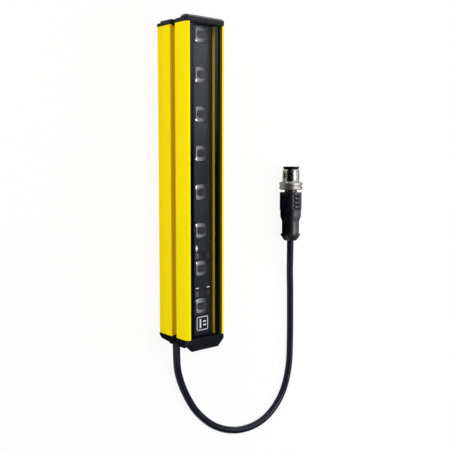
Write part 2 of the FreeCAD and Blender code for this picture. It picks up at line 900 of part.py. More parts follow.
def bends_from(end, bends):
    """Places of bends counted from one end of the cable, each lying on the surface or rising to that end."""
    lying = value_of("cable_diameter / 2")
    return [
        Vector(end.x + across, end.y + along, lying + rise * (end.z - lying)) for across, along, rise in bends
    ]


def cable_route():
    """The cable's points: out of the cap, down to the surface, round one wide loop and up to the plug."""
    exit_along = value_of("profile_base - bottom_base_height")
    leave = Vector(value_of("exit_across"), exit_along, value_of("exit_height"))
    arrive = Vector(value_of("plug_across"), value_of("plug_rear"), value_of("plug_height"))
    straight = Vector(0, value_of("cable_straight"), 0)
    route = [leave, leave - straight]
    route += bends_from(leave, BENDS_AFTER_EXIT)
    route += bends_from(arrive, BENDS_BEFORE_PLUG)
    return route + [arrive - straight, arrive]


def make_cable():
    """The connection cable from the bottom cap to the plug."""
    route = cable_route()
    diameter = value_of("cable_diameter")
    length = make_tube("cable", route, diameter)
    print("cable length", round(length, 1), "bend radii", [round(radius) for radius in bend_radii(route)])


# Plug: each piece is turned about its own upright axis and then laid along Y


def lay_on_plug_axis(body):
    """Turns a piece so that its axis points towards the plug's tip, and puts it in its place."""
    body.Placement = Placement(Vector(), Rotation(Vector(1, 0, 0), -90))
    return place(body, "plug_across", "plug_rear", "plug_height")


def draw_turned(sketch, profile):
    """Half a section from formulas of diameter and place along the axis."""
    draw_polygon(sketch, [(f"({diameter}) / 2", along) for diameter, along in profile])


def make_plug_body():
    """Moulded grip round the cable's end: collar, barrel, grip with ribbed recesses, and neck."""
    body = new_body("PlugBody")
    half = new_sketch(body, "XZ_Plane")
    profile = [
        ("0", "0"),
        ("collar_small_diameter", "0"),
        ("collar_diameter", "collar_length"),
        ("barrel_diameter", "collar_length"),
        ("barrel_diameter", "taper_start"),
        ("shoulder_diameter", "shoulder_start"),
        ("shoulder_diameter", "grip_start"),
        ("grip_diameter", "grip_start"),
        ("grip_diameter", "grip_end"),
        ("neck_diameter", "grip_end"),
        ("neck_diameter", "insert_start"),
        ("0", "insert_start"),
    ]
    draw_turned(half, profile)
    new_revolution(body, half)
    flat = "grip_diameter / 2 - grip_recess"
    for side in (1, -1):
        recess = new_sketch(body, "YZ_Plane")
        draw_rectangle(recess, f"{side} * ({flat})", f"{side} * grip_diameter", "grip_start", "grip_end")
        recess_pocket = new_pocket(body, recess, "grip_recess_width")
        recess_pocket.SideType = "Symmetric"
        ribs = new_sketch(body, "YZ_Plane")
        for number in range(int(value_of("grip_rib_count"))):
            low = f"grip_start + grip_rib_width + {number} * grip_rib_pitch"
            high = f"{low} + grip_rib_width"
            inner = f"{side} * ({flat} - grip_rib_height)"
            outer = f"{side} * ({flat} + grip_rib_height)"
            draw_rectangle(ribs, inner, outer, low, high)
        rib_pad = new_pad(body, ribs, "grip_recess_width")
        rib_pad.SideType = "Symmetric"
    lay_on_plug_axis(body)
    name_piece(body, "plug_body")


def make_coupling_screw():
    """Metal screw that spins on the plug: threaded sleeve and gripping ring in one turned piece."""
    body = new_body("CouplingScrew")
    half = new_sketch(body, "XZ_Plane")
    bore = "insert_diameter + 2 * spin_gap"
    ring_middle = "ring_start + ring_length / 2"
    groove = "ring_diameter - 2 * ring_groove_depth"
    profile = [
        (bore, "ring_start"),
        ("ring_diameter - 2 * ring_chamfer", "ring_start"),
        ("ring_diameter", "ring_start + ring_chamfer"),
        ("ring_diameter", f"{ring_middle} - ring_groove_width / 2"),
        (groove, f"{ring_middle} - ring_groove_width / 2"),
        (groove, f"{ring_middle} + ring_groove_width / 2"),
        ("ring_diameter", f"{ring_middle} + ring_groove_width / 2"),
        ("ring_diameter", "ring_end - ring_chamfer"),
        ("ring_diameter - 2 * ring_chamfer", "ring_end"),
        ("thread_diameter", "ring_end"),
        ("thread_diameter", "thread_end - thread_lead_in"),
        ("thread_diameter - 2 * thread_lead_in", "thread_end"),
        (bore, "thread_end"),
    ]
    draw_turned(half, profile)
    new_revolution(body, half)
    lay_on_plug_axis(body)
    name_piece(body, "coupling_screw")


def pin_places():
    """Five pins: one in the middle and four round it, as formulas across and up."""
    reach = "pin_circle / 2 * sqrt(0.5)"
    places = [("0", "0")]
    for across in (f"({reach})", f"-({reach})"):
        for up in (f"({reach})", f"-({reach})"):
            places.append((across, up))
    return places


def make_contact_insert():
    """Black insert: a disc with the pin holes, a thin shroud and the rim that keeps the screw on."""
    body = new_body("ContactInsert")
    half = new_sketch(body, "XZ_Plane")
    profile = [
        ("0", "insert_start"),
        ("insert_diameter", "insert_start"),
        ("insert_diameter", "rim_start"),
        ("rim_small_diameter", "rim_start"),
        ("rim_diameter", "plug_end"),
        ("insert_bore", "plug_end"),
        ("insert_bore", "insert_start + insert_disc"),
        ("0", "insert_start + insert_disc"),
    ]
    draw_turned(half, profile)
    new_revolution(body, half)
    holes = new_sketch(body, "XY_Plane", "insert_start + insert_disc")
    for across, up in pin_places():
        draw_circle(holes, across, up, "pin_diameter / 2 + pin_fit")
    body.Tip = new_pocket(body, holes, "pin_depth")
    lay_on_plug_axis(body)
    name_piece(body, "contact_insert")


def make_contact_pin(number, across, up):
    """One gilded pin with a rounded tip, standing in its hole."""
    body = new_body(f"ContactPin{number + 1}")
    section = new_sketch(body, "XY_Plane", "pin_start")
    draw_circle(section, across, up, "pin_diameter / 2")
    shank = new_pad(body, section, "pin_length")
    tip_level = value_of("pin_start + pin_length")

    def tip(edge):
        return near(middle_of(edge).z, tip_level)

    round_edges(body, shank, tip, "pin_tip_radius")
    lay_on_plug_axis(body)
    name_piece(body, f"contact_pin_{number + 1}")


make_housing_profile()
make_front_screen()
make_screen_seal("screen_seal_left", -1)
make_screen_seal("screen_seal_right", 1)
make_gasket("TopGasket", "top_gasket", "profile_end")
make_gasket("BottomGasket", "bottom_gasket", "profile_base - gasket_thickness")
make_top_cap()
make_bottom_cap()
make_screw_set("top_cap_screws", "profile_end + top_screw_level", 1)
make_screw_set("bottom_cap_screws", "profile_base - bottom_screw_level", -1)
make_board()
make_optics_carrier()
for beam in range(int(value_of("beam_count"))):
    make_lens(beam)
    make_beam_diode(beam)
for chip_number in range(2):
    make_chip(chip_number)
for indicator_number in range(4):
    make_indicator(indicator_number)
make_board_connector()
make_leads()
make_grommet()
make_cable()
make_plug_body()
make_coupling_screw()
make_contact_insert()
for pin_number, (pin_across, pin_up) in enumerate(pin_places()):
    make_contact_pin(pin_number, pin_across, pin_up)

doc.recompute()
for thing in doc.Objects:
    if {"Invalid", "Error"} & set(thing.State):
        raise ValueError(f"{thing.Label} could not be worked out: {thing.State}")
for piece in pieces:
    if piece.Shape.isNull() or not piece.Shape.isValid():
        raise ValueError(f"{piece.Label} has no sound shape")

os.makedirs("parts", exist_ok=True)
for piece in pieces:
    piece.Shape.exportStep(f"parts/{piece.Label}.step")
print("pieces written:", len(pieces))
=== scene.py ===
import json
import math

import bmesh
import bpy
import numpy as np
from mathutils import Matrix, Vector


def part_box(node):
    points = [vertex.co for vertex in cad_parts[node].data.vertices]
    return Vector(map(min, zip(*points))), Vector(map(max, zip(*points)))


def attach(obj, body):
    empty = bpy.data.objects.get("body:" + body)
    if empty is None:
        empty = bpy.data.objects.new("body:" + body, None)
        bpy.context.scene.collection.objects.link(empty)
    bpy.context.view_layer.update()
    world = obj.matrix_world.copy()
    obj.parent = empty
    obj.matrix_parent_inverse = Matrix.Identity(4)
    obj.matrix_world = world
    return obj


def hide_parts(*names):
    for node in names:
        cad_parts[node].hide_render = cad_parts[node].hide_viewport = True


# A safety light curtain on its rear face, its cable and plug beside it, seen from its upper left.
# X runs across the curtain, Y along it towards the top cap, and Z out of its window, in metres.

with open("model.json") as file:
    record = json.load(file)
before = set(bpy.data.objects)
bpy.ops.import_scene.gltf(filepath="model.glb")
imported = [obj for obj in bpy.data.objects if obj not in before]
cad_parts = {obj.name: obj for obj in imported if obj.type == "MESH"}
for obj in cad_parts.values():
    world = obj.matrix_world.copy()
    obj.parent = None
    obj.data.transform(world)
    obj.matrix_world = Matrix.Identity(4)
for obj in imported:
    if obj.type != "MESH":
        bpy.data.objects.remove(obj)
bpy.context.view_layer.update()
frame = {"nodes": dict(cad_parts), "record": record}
MM = 0.001
TURN = 2 * math.pi


def centre_of(node):
    """The middle of a node's box, in metres."""
    low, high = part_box(node)
    return (Vector(low) + Vector(high)) / 2


# Camera


def aim_camera():
    """Looks down on the window from the left, and a little from the top cap's end."""
    turned = math.radians(40.63)
    tipped = math.radians(5.72)
    rolled = math.radians(0.07)
    distance = 0.419
    looked_at = Vector((0.0090, -0.0232, 0.0356))
    focal_pixels = 689.65
    frame_pixels = 450
    sensor = 36.0

    out_of_window = Vector((-math.sin(turned), 0, math.cos(turned)))
    along = Vector((0, 1, 0))
    back = out_of_window * math.cos(tipped) + along * math.sin(tipped)
    right = along.cross(out_of_window).normalized()
    up = back.cross(right)
    axes = Matrix((right, up, back)).transposed() @ Matrix.Rotation(rolled, 3, "Z")

    data = bpy.data.cameras.new("camera")
    data.sensor_width = sensor
    data.lens = focal_pixels / frame_pixels * sensor
    data.clip_start = 0.01
    camera = bpy.data.objects.new("camera", data)
    camera.matrix_world = Matrix.Translation(looked_at + back * distance) @ axes.to_4x4()
    bpy.context.scene.collection.objects.link(camera)
    bpy.context.scene.camera = camera


# Node groups and materials


def linear(red, green, blue):
    """A display colour, 0 to 255, as the shader's own linear colour."""
    shown = np.array([red, green, blue]) / 255
    plain = np.where(shown <= 0.04045, shown / 12.92, ((shown + 0.055) / 1.055) ** 2.4)
    return (*plain.tolist(), 1.0)


def add_node(tree, kind, settings=None, **inputs):
    """A node with its settings and inputs; an underscore in an input's name stands for a space."""
    node = tree.nodes.new(kind)
    for name, value in (settings or {}).items():
        setattr(node, name, value)
    for name, value in inputs.items():
        node.inputs[name.replace("_", " ")].default_value = value
    return node


def new_group(name, inputs, outputs):
    """An empty node group with named sockets, each given as a name, a kind and a value."""
    group = bpy.data.node_groups.new(name, "ShaderNodeTree")
    for label, kind, value in inputs:
        socket = group.interface.new_socket(label, in_out="INPUT", socket_type="NodeSocket" + kind)
        if value is not None:
            socket.default_value = value
    for label, kind in outputs:
        group.interface.new_socket(label, in_out="OUTPUT", socket_type="NodeSocket" + kind)
    given = group.nodes.new("NodeGroupInput").outputs
    out = group.nodes.new("NodeGroupOutput").inputs
    return group, given, out


def make_grain_group():
    """Fine relief: two sizes of noise as a bump, with the gloss a little uneven in step with it."""
    group, given, out = new_group(
        "surface grain",
        [
            ("Place", "Vector", None),
            ("Stretch", "Vector", (1, 1, 1)),
            ("Fineness", "Float", 2000.0),
            ("Depth", "Float", 0.00002),
            ("Roughness", "Float", 0.4),
            ("Unevenness", "Float", 0.1),
        ],
        [("Normal", "Vector"), ("Roughness", "Float")],
    )
    link = group.links.new
    stretched = add_node(group, "ShaderNodeVectorMath", {"operation": "MULTIPLY"})
    fine = add_node(group, "ShaderNodeTexNoise", Detail=3.0, Roughness=0.6)
    broad = add_node(group, "ShaderNodeTexNoise", Scale=90.0, Detail=2.0)
    relief = add_node(group, "ShaderNodeBump", Strength=1.0)
    swing = add_node(group, "ShaderNodeMath", {"operation": "SUBTRACT"})
    swing.inputs[1].default_value = 0.5
    gloss = add_node(group, "ShaderNodeMath", {"operation": "MULTIPLY_ADD", "use_clamp": True})
    link(given["Place"], stretched.inputs[0])
    link(given["Stretch"], stretched.inputs[1])
    link(stretched.outputs["Vector"], fine.inputs["Vector"])
    link(given["Fineness"], fine.inputs["Scale"])
    link(stretched.outputs["Vector"], broad.inputs["Vector"])
    link(fine.outputs["Fac"], relief.inputs["Height"])
    link(given["Depth"], relief.inputs["Distance"])
    link(broad.outputs["Fac"], swing.inputs[0])
    link(swing.outputs[0], gloss.inputs[0])
    link(given["Unevenness"], gloss.inputs[1])
    link(given["Roughness"], gloss.inputs[2])
    link(relief.outputs["Normal"], out["Normal"])
    link(gloss.outputs[0], out["Roughness"])
    return group


def make_drift_group():
    """A colour that drifts a little lighter and darker over the surface."""
    group, given, out = new_group(
        "colour drift",
        [
            ("Place", "Vector", None),
            ("Colour", "Color", (0.5, 0.5, 0.5, 1)),
            ("Scale", "Float", 40.0),
            ("Amount", "Float", 0.1),
        ],
        [("Colour", "Color")],
    )
    link = group.links.new
    noise = add_node(group, "ShaderNodeTexNoise", Detail=4.0)
    swing = add_node(group, "ShaderNodeMath", {"operation": "SUBTRACT"})
    swing.inputs[1].default_value = 0.5
    factor = add_node(group, "ShaderNodeMath", {"operation": "MULTIPLY_ADD"})
    factor.inputs[2].default_value = 1.0
    shaded = add_node(group, "ShaderNodeVectorMath", {"operation": "SCALE"})
    link(given["Place"], noise.inputs["Vector"])
    link(given["Scale"], noise.inputs["Scale"])
    link(noise.outputs["Fac"], swing.inputs[0])
    link(swing.outputs[0], factor.inputs[0])
    link(given["Amount"], factor.inputs[1])
    link(given["Colour"], shaded.inputs[0])
    link(factor.outputs[0], shaded.inputs["Scale"])
    link(shaded.outputs["Vector"], out["Colour"])
    return group


def make_border_group():
    """One over a level and more than a half width from the middle, nought elsewhere."""
    group, given, out = new_group(
        "printed border",
        [("Place", "Vector", None), ("Half Width", "Float", 0.008), ("Level", "Float", 0.026)],
        [("Mask", "Float")],
    )
    link = group.links.new
    parts = add_node(group, "ShaderNodeSeparateXYZ")
    distance = add_node(group, "ShaderNodeMath", {"operation": "ABSOLUTE"})
    beyond = add_node(group, "ShaderNodeMath", {"operation": "GREATER_THAN"})
    above = add_node(group, "ShaderNodeMath", {"operation": "GREATER_THAN"})
    both = add_node(group, "ShaderNodeMath", {"operation": "MULTIPLY"})
    link(given["Place"], parts.inputs[0])
    link(parts.outputs["X"], distance.inputs[0])
    link(distance.outputs[0], beyond.inputs[0])
    link(given["Half Width"], beyond.inputs[1])
    link(parts.outputs["Z"], above.inputs[0])
    link(given["Level"], above.inputs[1])
    link(beyond.outputs[0], both.inputs[0])
    link(above.outputs[0], both.inputs[1])
    link(both.outputs[0], out["Mask"])
    return group


def make_channel_group():
    """One where the distance from the middle and the height lie in two spans, nought elsewhere."""
    group, given, out = new_group(
        "sunk channel",
        [
            ("Place", "Vector", None),
            ("Inner", "Float", 0.01),
            ("Outer", "Float", 0.0149),
            ("Bottom", "Float", 0.012),
            ("Top", "Float", 0.019),
        ],
        [("Mask", "Float")],
    )
    link = group.links.new
    parts = add_node(group, "ShaderNodeSeparateXYZ")
    distance = add_node(group, "ShaderNodeMath", {"operation": "ABSOLUTE"})
    link(given["Place"], parts.inputs[0])
    link(parts.outputs["X"], distance.inputs[0])
    tests = []
    for source, limit, operation in (
        (distance.outputs[0], "Inner", "GREATER_THAN"),
        (distance.outputs[0], "Outer", "LESS_THAN"),
        (parts.outputs["Z"], "Bottom", "GREATER_THAN"),
        (parts.outputs["Z"], "Top", "LESS_THAN"),
    ):
        test = add_node(group, "ShaderNodeMath", {"operation": operation})
        link(source, test.inputs[0])
        link(given[limit], test.inputs[1])
        tests.append(test.outputs[0])
    mask = tests[0]
    for test in tests[1:]:
        product = add_node(group, "ShaderNodeMath", {"operation": "MULTIPLY"})
        link(mask, product.inputs[0])
        link(test, product.inputs[1])
        mask = product.outputs[0]
    link(mask, out["Mask"])
    return group


def make_behind_group():
    """One where the place along Y is less than a limit, nought beyond it."""
    group, given, out = new_group(
        "behind a line", [("Place", "Vector", None), ("Limit", "Float", 0.0)], [("Mask", "Float")]
    )
    parts = add_node(group, "ShaderNodeSeparateXYZ")
    behind = add_node(group, "ShaderNodeMath", {"operation": "LESS_THAN"})
    group.links.new(given["Place"], parts.inputs[0])
    group.links.new(parts.outputs["Y"], behind.inputs[0])
    group.links.new(given["Limit"], behind.inputs[1])
    group.links.new(behind.outputs[0], out["Mask"])
    return group


def make_fade_group():
    """One up to a near place across X, falling smoothly to nought at a far one."""
    group, given, out = new_group(
        "fade across",
        [("Place", "Vector", None), ("Near", "Float", 0.0), ("Far", "Float", 0.01)],
        [("Mask", "Float")],
    )
    parts = add_node(group, "ShaderNodeSeparateXYZ")
    smooth = {"interpolation_type": "SMOOTHSTEP"}
    fall = add_node(group, "ShaderNodeMapRange", smooth, To_Min=1.0, To_Max=0.0)
    group.links.new(given["Place"], parts.inputs[0])
    group.links.new(parts.outputs["X"], fall.inputs["Value"])
    group.links.new(given["Near"], fall.inputs["From Min"])
    group.links.new(given["Far"], fall.inputs["From Max"])
    group.links.new(fall.outputs["Result"], out["Mask"])
    return group


GRAIN = make_grain_group()
DRIFT = make_drift_group()
BORDER = make_border_group()
CHANNEL = make_channel_group()
BEHIND = make_behind_group()
FADE = make_fade_group()


def place_group(tree, group, place, **inputs):
    """A node group in a material, reading the piece's own coordinates."""
    node = add_node(tree, "ShaderNodeGroup", {"node_tree": group}, **inputs)
    tree.links.new(place, node.inputs["Place"])
    return node


def new_finish(
    name, colour, roughness, fineness=1500.0, depth=0.00001, stretch=(1, 1, 1),
    unevenness=0.12, drift=0.06, **shader_inputs
):
    """A material with the shared grain and colour drift; further inputs are set on its shader."""
    drift_scale = 45.0
    material = bpy.data.materials.new(name)
    material.use_nodes = True
    tree = material.node_tree
    shader = tree.nodes["Principled BSDF"]
    for label, value in shader_inputs.items():
        shader.inputs[label.replace("_", " ")].default_value = value
    place = add_node(tree, "ShaderNodeTexCoord").outputs["Object"]
    grain = place_group(
        tree, GRAIN, place, Stretch=stretch, Fineness=fineness, Depth=depth,
        Roughness=roughness, Unevenness=unevenness,
    )
    shade = place_group(tree, DRIFT, place, Colour=colour, Scale=drift_scale, Amount=drift)
    tree.links.new(grain.outputs["Normal"], shader.inputs["Normal"])
    tree.links.new(grain.outputs["Roughness"], shader.inputs["Roughness"])
    tree.links.new(shade.outputs["Colour"], shader.inputs["Base Color"])
    return material


def open_finish(material):
    """A material's node tree and the place on the piece that its patterns read."""
    tree = material.node_tree
    return tree, tree.nodes["Texture Coordinate"].outputs["Object"]


def lay_colour(tree, mask, colour):
    """Lays a colour over the base colour where the mask is one.

    A Mix node takes its two colours at inputs 6 and 7 and gives the blend at output 2.
    """
    target = tree.nodes["Principled BSDF"].inputs["Base Color"]
    below = target.links[0].from_socket
    blend = add_node(tree, "ShaderNodeMix", {"data_type": "RGBA"})
    blend.inputs[7].default_value = colour
    tree.links.new(mask, blend.inputs[0])
    tree.links.new(below, blend.inputs[6])
    tree.links.new(blend.outputs[2], target)


def add_roughness(tree, mask, amount):
    """Makes the surface rougher by an amount where the mask is one."""
    target = tree.nodes["Principled BSDF"].inputs["Roughness"]
    below = target.links[0].from_socket
    more = add_node(tree, "ShaderNodeMath", {"operation": "MULTIPLY_ADD"})
    more.inputs[1].default_value = amount
    tree.links.new(mask, more.inputs[0])
    tree.links.new(below, more.inputs[2])
    tree.links.new(more.outputs[0], target)


def make_screen_finish():
    """Smoked clear sheet: see-through in the window, black where its long edges are printed."""
    window_half, under_print = 8.05 * MM, 26.6 * MM
    window_cover, print_cover = 0.16, 1.0
    material = new_finish(
        "smoked screen", linear(22, 22, 26), 0.07, fineness=300.0, depth=0.000001,
        unevenness=0.02, drift=0.0, Specular_IOR_Level=0.3,
    )
    tree, place = open_finish(material)
    border = place_group(tree, BORDER, place, Half_Width=window_half, Level=under_print)
    lay_colour(tree, border.outputs["Mask"], linear(6, 6, 17))
    cover = add_node(tree, "ShaderNodeMapRange", To_Min=window_cover, To_Max=print_cover)
    tree.links.new(border.outputs["Mask"], cover.inputs["Value"])
    tree.links.new(cover.outputs["Result"], tree.nodes["Principled BSDF"].inputs["Alpha"])
    return material


def make_yellow_finish():
    """Yellow coat on the extrusion, with painted shade that makes it darker and browner in the two
    side grooves and on the inner faces of the two lip walls.
    """
    slot_shade_spans = {"Inner": 10 * MM, "Outer": 14.85 * MM, "Bottom": 11.5 * MM, "Top": 19.6 * MM}
    lip_shade_spans = {"Inner": 11 * MM, "Outer": 12.34 * MM, "Bottom": 25.2 * MM, "Top": 28.85 * MM}
    material = new_finish(
        "yellow coat", linear(252, 227, 1), 0.42, fineness=5000.0, depth=0.000005,
        stretch=(1, 0.03, 1), drift=0.03, Specular_IOR_Level=0.04,
    )
    tree, place = open_finish(material)
    # Painted shade: each span is coloured darker and browner, standing in for the shade that falls
    # in the side grooves and inside the lip walls.
    for spans, colour in ((slot_shade_spans, linear(230, 197, 34)), (lip_shade_spans, linear(122, 94, 44))):
        sunk = place_group(tree, CHANNEL, place, **spans)
        lay_colour(tree, sunk.outputs["Mask"], colour)
    return material


def make_lens_finish():
    """Dark clear plastic: polished on top, matt at the moulded edge, with a painted highlight on
    that edge which is strongest to the left and fades to the right.
    """
    inside_foot, over_carrier, under_top = 1.1 * MM, 0.02 * MM, 0.1 * MM
    material = new_finish("lens plastic", linear(78, 78, 86), 0.12, depth=0.000002, drift=0.0)
    tree, place = open_finish(material)
    lens_side, _, lens_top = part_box("lens_1")[1]
    carrier_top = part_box("optics_carrier")[1][2]
    rim = place_group(
        tree, CHANNEL, place, Inner=0.0, Outer=lens_side - inside_foot,
        Bottom=carrier_top + over_carrier, Top=lens_top - under_top,
    )
    # Painted highlight: the pale edge colour stands in for light caught by the moulded edge, full
    # to the left and fading out to the right.
    highlight_fade = place_group(tree, FADE, place, Near=-4.4 * MM, Far=4.6 * MM)
    edge = add_node(tree, "ShaderNodeMath", {"operation": "MULTIPLY"})
    tree.links.new(rim.outputs["Mask"], edge.inputs[0])
    tree.links.new(highlight_fade.outputs["Mask"], edge.inputs[1])
    lay_colour(tree, edge.outputs[0], linear(196, 197, 201))
    add_roughness(tree, rim.outputs["Mask"], 0.16)
    return material


def make_pipe_finish():
    """Grey clear plastic of the small light windows, with a painted highlight that lightens it to
    the left.
    """
    material = new_finish("light pipe", linear(84, 83, 82), 0.3)
    tree, place = open_finish(material)
    # Painted highlight: lighter colour to the left, fading out to the right, where less light
    # falls.
    painted_highlight_left = place_group(tree, FADE, place, Near=-3.0 * MM, Far=3.0 * MM)
    lay_colour(tree, painted_highlight_left.outputs["Mask"], linear(116, 115, 113))
    return material


def make_nickel_finish():
    """Nickel plate, matt on the knurled ring and brighter on the thread in front of it."""
    ring_front = 0.2 * MM
    material = new_finish(
        "nickel plate", linear(186, 183, 179), 0.27, depth=0.000003, Metallic=1.0
    )
    tree, place = open_finish(material)
    ring = place_group(tree, BEHIND, place, Limit=ring_front)
    lay_colour(tree, ring.outputs["Mask"], linear(182, 179, 174))
    add_roughness(tree, ring.outputs["Mask"], 0.16)
    return material


FINISHES = {
    "yellow_housing": make_yellow_finish(),
    "smoked_screen": make_screen_finish(),
    "black_rubber": new_finish(
        "black rubber", linear(18, 18, 25), 0.7, depth=0.00002, Specular_IOR_Level=0.2,
    ),
    "cap_plastic": new_finish(
        "cap plastic", linear(13, 13, 24), 0.4, fineness=4000.0, depth=0.00002,
        Specular_IOR_Level=0.22,
    ),
    "screw_steel": new_finish("screw steel", linear(180, 180, 184), 0.3, Metallic=1.0),
    "carrier_plastic": new_finish(
        "carrier plastic", linear(50, 52, 62), 0.34, fineness=3500.0, depth=0.000006,
        Specular_IOR_Level=0.7,
    ),
    "lens_plastic": make_lens_finish(),
    "diode_resin": new_finish("diode resin", linear(20, 18, 26), 0.15),
    "board_laminate": new_finish("board laminate", linear(20, 92, 52), 0.4),
    "chip_resin": new_finish("chip resin", linear(28, 28, 30), 0.6),
    "led_resin": new_finish("lamp resin", linear(225, 230, 232), 0.3),
    "pipe_plastic": make_pipe_finish(),
    "connector_plastic": new_finish("connector nylon", linear(226, 222, 208), 0.5),
    "lead_insulation": new_finish("lead insulation", linear(120, 66, 40), 0.5),
    "cable_jacket": new_finish(
        "cable jacket", linear(17, 22, 35), 0.32, fineness=2500.0, depth=0.000005,
        Specular_IOR_Level=0.26,
    ),
    "plug_moulding": new_finish(
        "plug moulding", linear(1, 2, 18), 0.4, fineness=3000.0, depth=0.000005,
        Specular_IOR_Level=1.0,
    ),
    "nickel_plate": make_nickel_finish(),
    "insert_plastic": new_finish(
        "insert plastic", linear(6, 6, 12), 0.45, Specular_IOR_Level=0.2,
    ),
    "pin_gold": new_finish("gilded pin", linear(232, 190, 98), 0.22, Metallic=1.0),
    "print_white": new_finish("white print", linear(240, 246, 250), 0.5, drift=0.04),
}

TOP_CAP_FINISH = new_finish(
    "glossier cap plastic", linear(12, 12, 22), 0.38, fineness=4000.0, depth=0.00001,
    Specular_IOR_Level=0.2,
)
SLOT_OF_NODE = {row["node"]: row["material_slot"] for row in frame["record"]["subparts"]}


def finish_nodes():
    """Gives every CAD node the finish of its slot."""
    for name, node in frame["nodes"].items():
        node.data.materials.clear()
        node.data.materials.append(FINISHES[SLOT_OF_NODE[name]])


# Meshes


def settle(piece, body, node=None, slot=None):
    """Puts a finished piece on its body, in place of a node, with the finish of the node's slot."""
    if not piece.data.materials:
        piece.data.materials.append(FINISHES[slot or SLOT_OF_NODE[node]])
    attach(piece, body)
    if node:
        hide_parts(node)
    return piece


def show_mesh(name, mesh, sharp_angle=32):
    """A mesh as a smooth-shaded piece with its hard edges kept."""
    mesh.shade_smooth()
    mesh.set_sharp_from_angle(angle=math.radians(sharp_angle))
    piece = bpy.data.objects.new(name, mesh)
    bpy.context.scene.collection.objects.link(piece)
    return piece


def grid_mesh(name, points, closed=(False, True), lids=False):
    """A mesh over a grid of points, joined to itself along its closed ways, with lids if asked."""
    rows, columns = points.shape[:2]
    index = np.arange(rows * columns).reshape(rows, columns)
    if closed[0]:
        index = np.vstack([index, index[:1]])
    if closed[1]:
        index = np.hstack([index, index[:, :1]])
    quads = np.stack([index[:-1, :-1], index[1:, :-1], index[1:, 1:], index[:-1, 1:]], axis=-1)
    faces = quads.reshape(-1, 4).tolist()
    if lids:
        faces.append(list(range(columns)))
        faces.append(list(range((rows - 1) * columns, rows * columns))[::-1])
    mesh = bpy.data.meshes.new(name)
    mesh.from_pydata(points.reshape(-1, 3).tolist(), [], faces)
    return mesh


def dressed_copy(name, node, bevel):
    """A copy of a CAD node: corners merged, flat faces made whole, and edges broken by a bevel."""
    same_place = 1e-6
    same_plane, least_edge = math.radians(1), math.radians(28)
    form = bmesh.new()
    form.from_mesh(frame["nodes"][node].data)
    bmesh.ops.remove_doubles(form, verts=form.verts, dist=same_place)
    bmesh.ops.dissolve_limit(form, angle_limit=same_plane, verts=form.verts, edges=form.edges)
    mesh = bpy.data.meshes.new(name)
    form.to_mesh(mesh)
    form.free()
    piece = show_mesh(name, mesh)

    edges = piece.modifiers.new("broken edges", "BEVEL")
    edges.width = bevel
    edges.segments = 2
    edges.limit_method = "ANGLE"
    edges.angle_limit = least_edge
    edges.harden_normals = True
    edges.use_clamp_overlap = True
    return piece


def even_turn(sides):
    """Angles of one turn in equal steps."""
    return np.linspace(0, TURN, sides, endpoint=False)


def turned_points(profile, axis_point, around):
    """A profile of radius and place along Y, turned round: x = radius cos, z = radius sin."""
    radius, along = np.asarray(profile, float).T[:, :, None]
    x = axis_point.x + radius * np.cos(around)
    y = axis_point.y + along + 0 * around
    z = axis_point.z + radius * np.sin(around)
    return np.stack([x, y, z], axis=-1)


def rounded(corners, reach, steps=4, closed=True):
    """An outline whose corners are eased, at most over a reach on each side.

    Each corner is the parabola (1-t)^2 start + 2t(1-t) corner + t^2 end.
    """
    most_of_side = 0.45
    corner = np.asarray(corners, float)
    before = np.roll(corner, 1, axis=0) - corner
    after = np.roll(corner, -1, axis=0) - corner
    length_before = np.linalg.norm(before, axis=1, keepdims=True)
    length_after = np.linalg.norm(after, axis=1, keepdims=True)
    cut = np.minimum(reach, most_of_side * np.minimum(length_before, length_after))
    start = corner + before / length_before * cut
    end = corner + after / length_after * cut
    part = np.linspace(0, 1, steps + 1)[None, :, None]
    eased = (1 - part) ** 2 * start[:, None]
    eased += 2 * part * (1 - part) * corner[:, None]
    eased += part**2 * end[:, None]
    if closed:
        return eased.reshape(-1, 2)
    return np.concatenate([corner[:1], eased[1:-1].reshape(-1, 2), corner[-1:]])


# Plug, with its own sizes in millimetres, measured from its rear end

PLUG_AXIS = centre_of("coupling_screw")
PLUG_AXIS.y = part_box("plug_body")[0][1]


